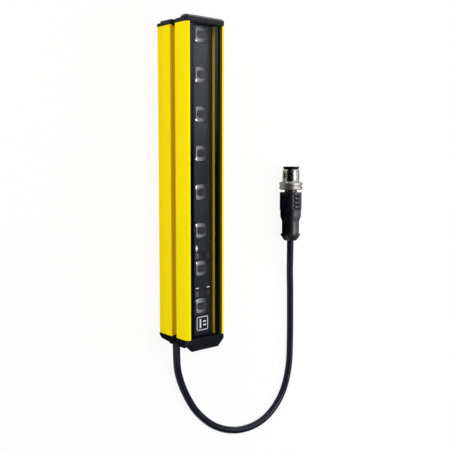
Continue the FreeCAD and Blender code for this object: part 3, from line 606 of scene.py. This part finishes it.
def make_plug_body():
    """Moulded grip: a turned outline with a ribbed recess in its grip, above and below.

    Within the recess's width the height over the axis is at most the recess floor's. Each rib
    raises the floor in the middle of that width to the circle z^2 + x^2 = r^2, and the groove
    between two ribs narrows downwards.
    """
    grip_radius, beyond_grip, easing = 7.8, 7.9, 0.45
    outline = [(0.01, 0), (4.5, 0), (7.2, 4.2), (7.2, 4.6), (6.15, 4.9), (6.15, 13.9)]
    outline += [(7.4, 17.3), (7.4, 21.7), (grip_radius, 22.0)]
    neck_outline = [(grip_radius, 34.0), (grip_radius, 34.5)]
    neck_outline += [(4.4, 34.5), (4.4, 37.4), (0.01, 37.4)]
    recess_low, recess_high, margin, row_count = 22.4, 34.1, 0.2, 130
    rear_part = rounded(outline, easing, steps=5, closed=False)
    neck_part = rounded(neck_outline, easing, steps=5, closed=False)[1:]
    grip_rows = np.linspace(recess_low - margin, recess_high + margin, row_count)
    grip_part = np.stack([np.full(grip_rows.size, grip_radius), grip_rows], axis=1)
    neck_part = neck_part[neck_part[:, 1] > grip_rows[-1]]
    profile = np.concatenate([rear_part[:-1], grip_part, neck_part])

    recess_half, rib_half, wall = 4.5, 2.6, 0.12
    steps = np.array([recess_half - wall, recess_half + wall, rib_half - wall, rib_half + wall])
    angles = np.arccos(steps / grip_radius)
    walls = np.concatenate([angles, math.pi - angles, math.pi + angles, TURN - angles])
    around = np.unique(np.concatenate([even_turn(sides=128), walls]))
    points = turned_points(profile * MM, PLUG_AXIS, around)

    floor, end_slope, groove_power = 6.2, 0.25, 1.3
    first_rib, rib_pitch, rib_top, rib_radius = 24.4, 3.0, 0.45, 7.5
    along = profile[:, 1][:, None]
    in_grip = np.clip(np.minimum(along - recess_low, recess_high - along) / end_slope, 0, 1)
    offset = np.abs((along - first_rib + rib_pitch / 2) % rib_pitch - rib_pitch / 2)
    groove = np.clip((offset - rib_top) / (rib_pitch / 2 - rib_top), 0, 1) ** groove_power
    across = np.abs(points[:, :, 0] - PLUG_AXIS.x) / MM
    in_width = np.clip((recess_half + wall - across) / (2 * wall), 0, 1)
    on_ribs = np.clip((rib_half + wall - across) / (2 * wall), 0, 1)
    rib_height = np.sqrt(np.maximum(rib_radius**2 - across**2, floor**2))
    ribbed = floor + (rib_height - floor) * (1 - groove) * on_ribs
    limit = (ribbed + (beyond_grip - ribbed) * (1 - in_grip * in_width)) * MM
    height = points[:, :, 2] - PLUG_AXIS.z
    points[:, :, 2] = PLUG_AXIS.z + np.clip(height, -limit, limit)
    mesh = grid_mesh("plug_grip", points[:, ::-1], lids=True)
    return settle(show_mesh("plug_grip", mesh, 40), "curtain", "plug_body")


def make_plug_screw():
    """Threaded sleeve and gripping ring as one closed turned shell.

    The ring's radius is cut by a wave round it for the knurls, and the sleeve's by a triangle
    wave that moves on by one pitch a turn for the thread.
    """
    bore, ring, thread = 5.0, 8.2, 6.05
    ring_start, ring_end, sleeve_end = 36.5, 41.8, 50.9
    chamfer, groove_radius = 0.5, ring - 0.6
    thread_start, thread_stop, pitch, thread_depth = 42.6, 49.3, 1.0, 0.06
    run_out, end_cut = 0.7, 0.15
    knurl_count, knurl_depth = 60, 0.1
    ring_outline = [(bore, ring_start), (ring - chamfer, ring_start), (ring, ring_start + chamfer)]
    ring_outline += [(ring, 38.55), (groove_radius, 38.8), (groove_radius, 39.45), (ring, 39.7)]
    ring_outline += [(ring, ring_end - chamfer), (ring - chamfer, ring_end)]
    ring_outline += [(thread + 0.25, ring_end), (thread - 0.1, thread_start)]
    ring_part = rounded(ring_outline, 0.18, steps=3, closed=False)
    thread_rows = np.arange(thread_start + 0.05, thread_stop, pitch / 12)
    thread_part = np.stack([np.full(thread_rows.size, thread), thread_rows], axis=1)
    nose = [(thread - 0.3, thread_stop), (thread - 0.1, thread_stop + 0.15)]
    nose += [(thread - 0.1, sleeve_end - 1.1), (thread - 0.5, sleeve_end - 0.05)]
    nose += [(bore, sleeve_end)]
    profile = np.concatenate([ring_part, thread_part, nose])
    around = even_turn(sides=240)
    points = turned_points(profile * MM, PLUG_AXIS, around)
    radius, along = profile[:, :1], profile[:, 1:]
    turns = along / pitch - around / TURN
    tooth = np.abs((turns % 1) * 2 - 1)
    fade = np.clip(np.minimum(along - thread_start, thread_stop - along) / run_out, 0, 1)
    on_thread = (along > thread_start) & (along < thread_stop) & (radius > thread - 0.05)
    cut = np.where(on_thread, thread_depth * tooth * fade + end_cut * (1 - fade), 0)
    knurls = knurl_depth * (0.5 - 0.5 * np.cos(around * knurl_count)) ** 0.5
    on_ring = (radius > ring - 0.3) & (along < ring_end)
    cut = np.where(on_ring, knurls, cut)
    scale = (radius - cut) / radius
    points[:, :, 0] = PLUG_AXIS.x + (points[:, :, 0] - PLUG_AXIS.x) * scale
    points[:, :, 2] = PLUG_AXIS.z + (points[:, :, 2] - PLUG_AXIS.z) * scale
    mesh = grid_mesh("plug_screw_shell", points[:, ::-1], closed=(True, True))
    return settle(show_mesh("plug_screw_shell", mesh, 50), "plug_screw", "coupling_screw")


def make_insert():
    """Black insert: disc, thin shroud and flared rim, as one closed turned shell."""
    disc_rear, disc_front, rim_front = 37.5, 43.5, 52.85
    outline = [(4.75, disc_rear), (4.75, 51.15), (5.4, 51.15), (5.9, 52.75), (5.75, rim_front)]
    outline += [(4.5, rim_front), (4.3, 52.6), (4.3, disc_front)]
    outline += [(0.01, disc_front), (0.01, disc_rear)]
    profile = rounded(outline, 0.15, steps=3)
    points = turned_points(profile * MM, PLUG_AXIS, even_turn(sides=96))
    mesh = grid_mesh("insert_shell", points[:, ::-1], closed=(True, True))
    return settle(show_mesh("insert_shell", mesh), "curtain", "contact_insert")


def make_pins():
    """Five gilded pins, each a turned outline with a domed tip."""
    pin_start, pin_end, radius, tip_height = 39.6, 51.0, 0.5, 0.45
    closing = 0.005
    dome = np.linspace(0, math.pi / 2, 8)
    tip_radius = radius * np.cos(dome) + closing
    tip = np.stack([tip_radius, pin_end - tip_height + tip_height * np.sin(dome)], axis=1)
    profile = np.concatenate([[(closing, pin_start), (radius, pin_start)], tip])
    for number in range(1, 6):
        node = f"contact_pin_{number}"
        centre = centre_of(node)
        axis = Vector((centre.x, PLUG_AXIS.y, centre.z))
        points = turned_points(profile * MM, axis, even_turn(sides=24))
        mesh = grid_mesh(f"pin_{number}", points[:, ::-1], lids=True)
        settle(show_mesh(f"pin_{number}", mesh), "curtain", node)


# Lenses


def make_lens(number):
    """Moulded lens, a pillow on a square foot that fills its pocket.

    Each ring is the superellipse |x/a|^n + |y/b|^n = 1. Its sizes a and b fall from the foot to
    the middle, and its power n with them, so the square turns round. The height follows a quarter
    wave up the pillow's edge, and then one less the square of the distance from the middle.
    """
    node = f"lens_{number}"
    low, high = (np.array(corner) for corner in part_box(node))
    half = (high[0] - low[0]) / 2 / MM
    height = (high[2] - low[2]) / MM
    foot = (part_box("optics_carrier")[1][2] - low[2]) / MM
    gap = np.array([0.5, 0.12])
    edge_width = np.array([1.1, 2.3])
    crown = 0.1
    foot_power, square_power, round_power = 14.0, 3.6, 2.0
    edge_rings, crown_rings, least_share = 16, 14, 0.005
    edge = np.linspace(0, 1, edge_rings)
    edge_size = half - gap - edge_width * (1 - np.cos(edge * math.pi / 2))[:, None]
    edge_level = foot + (height - crown - foot) * np.sin(edge * math.pi / 2)
    share = np.linspace(1, least_share, crown_rings)[1:]
    crown_level = height - crown + crown * (1 - share**2)
    crown_power = round_power + (square_power - round_power) * share
    size = np.concatenate([np.full((2, 2), half), edge_size, share[:, None] * edge_size[-1]])
    level = np.concatenate([[0, foot], edge_level, crown_level])[:, None]
    edge_power = np.full(edge.size, square_power)
    power = np.concatenate([[foot_power, foot_power], edge_power, crown_power])[:, None]
    around = even_turn(sides=96)[None, :]
    cosine, sine = np.cos(around), np.sin(around)
    reach = (np.abs(cosine) ** power + np.abs(sine) ** power) ** (-1 / power)
    middle = (low + high) / 2
    x = middle[0] + size[:, :1] * reach * cosine * MM
    y = middle[1] + size[:, 1:] * reach * sine * MM
    z = low[2] + (level + 0 * around) * MM
    points = np.stack([x, y, z], axis=-1)
    mesh = grid_mesh(f"lens_cover_{number}", points[:, ::-1], lids=True)
    return settle(show_mesh(f"lens_cover_{number}", mesh, 60), "curtain", node)


# Print at the underside of the screen

INK_THICKNESS = 0.00003


def thicken_ink(piece):
    """Gives flat ink a thin body under its face."""
    body = piece.modifiers.new("ink", "SOLIDIFY")
    body.thickness = INK_THICKNESS
    body.offset = -1.0


def strokes(name, paths, width, level):
    """Flat strokes: each straight path is a strip that reaches half a width beyond its line."""
    corners = []
    for start, end in paths:
        start, end = np.array(start, float), np.array(end, float)
        along = (end - start) / np.linalg.norm(end - start) * width / 2
        side = np.array([-along[1], along[0]])
        corners += [start - along - side, end + along - side]
        corners += [end + along + side, start - along + side]
    flat = np.array(corners) * MM
    points = np.column_stack([flat, np.full(len(flat), level)])
    faces = np.arange(len(flat)).reshape(-1, 4).tolist()
    mesh = bpy.data.meshes.new(name)
    mesh.from_pydata(points.tolist(), [], faces)
    piece = bpy.data.objects.new(name, mesh)
    bpy.context.scene.collection.objects.link(piece)
    thicken_ink(piece)
    return piece


def make_lozenge(name, middle, across, along, level):
    """A small upright lozenge: four corners round its middle, a thin layer of ink."""
    x, y = middle
    corners = [(x, y - along / 2), (x + across / 2, y), (x, y + along / 2), (x - across / 2, y)]
    mesh = bpy.data.meshes.new(name)
    mesh.from_pydata([(a * MM, b * MM, level) for a, b in corners], [], [(0, 1, 2, 3)])
    piece = bpy.data.objects.new(name, mesh)
    bpy.context.scene.collection.objects.link(piece)
    thicken_ink(piece)
    return piece


def make_print():
    """A bar beside two dashes in a square at the lower end, and above it a few small marks."""
    inset = 0.0001
    ink_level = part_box("front_screen")[0][2] + inset
    lower_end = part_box("housing_profile")[0][1] / MM
    left, right, bottom, top = -4.5, 3.8, lower_end + 4.1, lower_end + 12.2
    corners = [(left, bottom), (right, bottom), (right, top), (left, top)]
    square = list(zip(corners, corners[1:] + corners[:1]))
    bar = [((-2.0, bottom + 1.8), (-2.0, top - 1.9))]
    dashes = [((0.6, lower_end + place), (2.1, lower_end + place)) for place in (9.2, 7.0)]
    marks_at = lower_end + 30.4
    marks = [((-5.2, marks_at), (-3.4, marks_at)), ((3.4, marks_at), (5.2, marks_at))]
    for name, paths, width in (
        ("print_square", square, 0.5),
        ("print_bar", bar, 1.2),
        ("print_dashes", dashes, 0.9),
        ("print_marks", marks, 0.6),
    ):
        settle(strokes(name, paths, width, ink_level), "curtain", slot="print_white")
    lozenge = make_lozenge("print_lozenge", (-4.7, lower_end + 55.1), 2.0, 4.4, ink_level)
    settle(lozenge, "curtain", slot="print_white")


# Cable

CABLE_DIAMETER = 4.8 * MM
LYING = CABLE_DIAMETER / 2

# Easing points in metres: out of the bottom cap, down to the floor, round a bend and into the plug
CABLE_ROUTE = [
    (-0.0064, -0.0976, 0.0062),
    (-0.0064, -0.1080, 0.0062),
    (-0.0039, -0.1211, 0.0040),
    (0.0033, -0.1368, LYING),
    (0.0135, -0.1530, LYING),
    (0.0310, -0.1676, LYING),
    (0.0530, -0.1750, LYING),
    (0.0758, -0.1729, LYING),
    (0.0930, -0.1596, LYING),
    (0.1008, -0.1391, LYING),
    (0.1014, -0.1166, LYING),
    (0.1012, -0.0956, LYING),
    (0.1009, -0.0776, LYING),
    (0.0980, -0.0641, 0.0046),
    (0.0945, -0.0522, 0.0082),
    (0.0945, -0.0418, 0.0082),
]


def make_cable():
    """The cable: a smooth tube about one curve through the route's easing points."""
    curve = bpy.data.curves.new("cable_run", "CURVE")
    curve.dimensions = "3D"
    spline = curve.splines.new("NURBS")
    spline.points.add(len(CABLE_ROUTE) - 1)
    for point, place in zip(spline.points, CABLE_ROUTE):
        point.co = (*place, 1.0)
    spline.use_endpoint_u = True
    spline.order_u = 3
    spline.resolution_u = 14
    curve.bevel_depth = CABLE_DIAMETER / 2
    curve.bevel_resolution = 10
    curve.use_fill_caps = True
    curve.materials.append(FINISHES["cable_jacket"])
    piece = bpy.data.objects.new("cable_run", curve)
    bpy.context.scene.collection.objects.link(piece)
    return settle(piece, "curtain", "cable")


def make_hard_pieces():
    """Moulded, extruded and cut pieces: the CAD forms with their edges broken."""
    # Bevel widths in millimetres
    bevels = {
        "housing_profile": 0.15,
        "top_cap": 0.6,
        "bottom_cap": 0.3,
        "top_gasket": 0.1,
        "bottom_gasket": 0.1,
        "front_screen": 0.1,
        "optics_carrier": 0.15,
        "top_cap_screws": 0.08,
        "bottom_cap_screws": 0.08,
    }
    for node, bevel in bevels.items():
        form = dressed_copy(f"{node}_form", node, bevel * MM)
        if node == "top_cap":
            form.data.materials.append(TOP_CAP_FINISH)
        settle(form, "curtain", node)


# Stage


def make_floor():
    """A pale floor that shows near white to the camera and keeps the object's shadow."""
    half, clearance = 1.5, 0.0002
    grey, white_share = 0.88, 0.9
    mesh = bpy.data.meshes.new("floor")
    corners = [(-half, -half, 0), (half, -half, 0), (half, half, 0), (-half, half, 0)]
    mesh.from_pydata(corners, [], [(0, 1, 2, 3)])
    floor = bpy.data.objects.new("floor", mesh)
    floor.location.z = -clearance
    bpy.context.scene.collection.objects.link(floor)
    material = bpy.data.materials.new("floor")
    material.use_nodes = True
    tree = material.node_tree
    shader = tree.nodes["Principled BSDF"]
    shader.inputs["Base Color"].default_value = (grey, grey, grey, 1)
    shader.inputs["Roughness"].default_value = 0.9
    shader.inputs["Specular IOR Level"].default_value = 0.1
    glow = add_node(tree, "ShaderNodeEmission", Strength=1.0)
    seen = add_node(tree, "ShaderNodeLightPath")
    share = add_node(tree, "ShaderNodeMath", {"operation": "MULTIPLY"})
    share.inputs[1].default_value = white_share
    mixed = add_node(tree, "ShaderNodeMixShader")
    out = tree.nodes["Material Output"]
    tree.links.new(seen.outputs["Is Camera Ray"], share.inputs[0])
    tree.links.new(share.outputs[0], mixed.inputs["Fac"])
    tree.links.new(shader.outputs[0], mixed.inputs[1])
    tree.links.new(glow.outputs[0], mixed.inputs[2])
    tree.links.new(mixed.outputs[0], out.inputs["Surface"])
    mesh.materials.append(material)


def make_world():
    """Soft even light all round, white to the camera, in gloss and through clear pieces."""
    soft_light, shown_white = 0.5, 1.0
    world = bpy.data.worlds.new("studio")
    bpy.context.scene.world = world
    world.use_nodes = True
    tree = world.node_tree
    tree.nodes.clear()
    link = tree.links.new
    soft = add_node(tree, "ShaderNodeBackground", Color=(1, 1, 1, 1), Strength=soft_light)
    white = add_node(tree, "ShaderNodeBackground", Color=(1, 1, 1, 1), Strength=shown_white)
    path = add_node(tree, "ShaderNodeLightPath")
    seen = path.outputs["Is Camera Ray"]
    for ray in ("Is Glossy Ray", "Is Transmission Ray"):
        either = add_node(tree, "ShaderNodeMath", {"operation": "MAXIMUM"})
        link(seen, either.inputs[0])
        link(path.outputs[ray], either.inputs[1])
        seen = either.outputs[0]
    mixed = add_node(tree, "ShaderNodeMixShader")
    out = add_node(tree, "ShaderNodeOutputWorld")
    link(seen, mixed.inputs["Fac"])
    link(soft.outputs[0], mixed.inputs[1])
    link(white.outputs[0], mixed.inputs[2])
    link(mixed.outputs[0], out.inputs["Surface"])


def add_softbox(name, place, side, power):
    """A square lamp at a place, facing the object."""
    aim = Vector((0.02, -0.02, 0.01))
    lamp = bpy.data.lights.new(name, "AREA")
    lamp.shape = "RECTANGLE"
    lamp.size = side
    lamp.size_y = side
    lamp.energy = power
    softbox = bpy.data.objects.new(name, lamp)
    softbox.location = place
    softbox.rotation_euler = (Vector(place) - aim).to_track_quat("Z", "Y").to_euler()
    bpy.context.scene.collection.objects.link(softbox)
    return softbox


def add_glint(name, place, power, lenses):
    """A lamp that lights the given lenses alone, for the small glints in their moulded corners."""
    glint = add_softbox(name, place, 0.42, power)
    glint.visible_diffuse = False
    lit = bpy.data.collections.new(name)
    for lens in lenses:
        lit.objects.link(lens)
    glint.light_linking.receiver_collection = lit


def make_lights(lenses):
    """A key lamp high over the window, one lamp for each side and two for the lenses' glints."""
    add_softbox("key", (0.25, 0.10, 1.0), 0.3, 3.4)
    fill = add_softbox("fill", (0.75, -0.10, 0.45), 0.5, 3.0)
    fill.visible_glossy = False
    side = add_softbox("side", (-0.75, 0.50, 0.5), 0.5, 3.5)
    side.visible_glossy = False
    add_glint("lower glint", (-0.15, 0.33, 0.44), 55.0, lenses[:4])
    add_glint("upper glint", (-0.12, -0.39, 0.40), 80.0, lenses[4:])


CARD_REACH = 0.15
CARD_LEVEL = 0.0002


def show_card(name, corners, glow=0.0, stops=()):
    """A studio card seen in gloss alone, black or with a glow on its front.

    The glow changes along Y from stop to stop, each given as a place and a share.
    """
    mesh = bpy.data.meshes.new(name)
    mesh.from_pydata(corners, [], [(0, 1, 2, 3)])
    card = bpy.data.objects.new(name, mesh)
    card.visible_camera = False
    card.visible_diffuse = False
    card.visible_transmission = False
    card.visible_shadow = False
    bpy.context.scene.collection.objects.link(card)
    material = bpy.data.materials.new(name)
    material.use_nodes = True
    tree = material.node_tree
    tree.nodes.remove(tree.nodes["Principled BSDF"])
    place = add_node(tree, "ShaderNodeTexCoord")
    parts = add_node(tree, "ShaderNodeSeparateXYZ")
    along = add_node(tree, "ShaderNodeMapRange", From_Min=-CARD_REACH, From_Max=CARD_REACH)
    shades = add_node(tree, "ShaderNodeValToRGB")
    shades.color_ramp.interpolation = "EASE"
    shades.color_ramp.elements[0].color = (0, 0, 0, 1)
    shades.color_ramp.elements[1].color = (0, 0, 0, 1)
    for number, (y, share) in enumerate(stops):
        place_on_ramp = (y + CARD_REACH) / (2 * CARD_REACH)
        if number < 2:
            stop = shades.color_ramp.elements[number]
        else:
            stop = shades.color_ramp.elements.new(place_on_ramp)
        stop.position = place_on_ramp
        stop.color = (share, share, share, 1)
    bright = add_node(tree, "ShaderNodeMath", {"operation": "MULTIPLY"})
    bright.inputs[1].default_value = glow
    front = add_node(tree, "ShaderNodeMath", {"operation": "SUBTRACT"})
    front.inputs[0].default_value = 1.0
    strength = add_node(tree, "ShaderNodeMath", {"operation": "MULTIPLY"})
    shown = add_node(tree, "ShaderNodeEmission", Color=(1, 1, 1, 1))
    side = add_node(tree, "ShaderNodeNewGeometry")
    tree.links.new(place.outputs["Object"], parts.inputs[0])
    tree.links.new(parts.outputs["Y"], along.inputs["Value"])
    tree.links.new(along.outputs["Result"], shades.inputs["Fac"])
    tree.links.new(shades.outputs["Color"], bright.inputs[0])
    tree.links.new(side.outputs["Backfacing"], front.inputs[1])
    tree.links.new(bright.outputs[0], strength.inputs[0])
    tree.links.new(front.outputs[0], strength.inputs[1])
    tree.links.new(strength.outputs[0], shown.inputs["Strength"])
    tree.links.new(shown.outputs[0], tree.nodes["Material Output"].inputs["Surface"])
    mesh.materials.append(material)


def upright(across, near, far, height):
    """Corners of a card on edge along Y, its front to the left."""
    return [(across, near, 0), (across, near, height), (across, far, height), (across, far, 0)]


def flat(left, right, near, far):
    """Corners of a card that lies just over the floor, its front up."""
    places = [(left, near), (right, near), (right, far), (left, far)]
    return [(x, y, CARD_LEVEL) for x, y in places]


def make_cards():
    """Cards for what the gloss shows.

    The middle one shades the window from dark at its lower end to bright at its top, the cap card
    brightens the top cap, and the black ones darken the bottom cap, the cable and the plug.
    """
    window_glow = [(-0.10, 0.05), (0.14, 1.0)]
    window_glow += [(-0.045, 0.0), (0.01, 0.02), (0.055, 0.42), (0.095, 1.0)]
    cap_glow = [(-CARD_REACH, 1.0), (CARD_REACH, 1.0)]
    near_edge, near_left, near_right, near_height = -0.23, -0.20, 0.34, 0.15
    near_corners = [(near_left, near_edge, 0), (near_right, near_edge, 0)]
    near_corners += [(near_right, near_edge, near_height), (near_left, near_edge, near_height)]
    show_card("middle_card", upright(0.050, -0.165, 0.13, 0.40), glow=1.3, stops=window_glow)
    show_card("near_card", near_corners)
    show_card("right_card", upright(0.160, -0.10, 0.06, 0.030))
    show_card("cap_card", flat(0.0, 0.30, 0.135, 0.36), glow=3.4, stops=cap_glow)
    show_card("low_card", flat(0.050, 0.094, -0.060, -0.006))
    show_card("screw_card", flat(0.050, 0.087, 0.001, 0.009))
    show_card("left_card", flat(-0.075, -0.0155, -0.118, -0.088))


bpy.context.scene.view_settings.view_transform = "Standard"
aim_camera()
cable = make_cable()
finish_nodes()
make_hard_pieces()
lens_covers = [make_lens(number) for number in range(1, 9)]
make_print()
plug_grip = make_plug_body()
plug_screw = make_plug_screw()
insert = make_insert()
make_pins()
make_floor()
make_world()
make_lights(lens_covers)
make_cards()
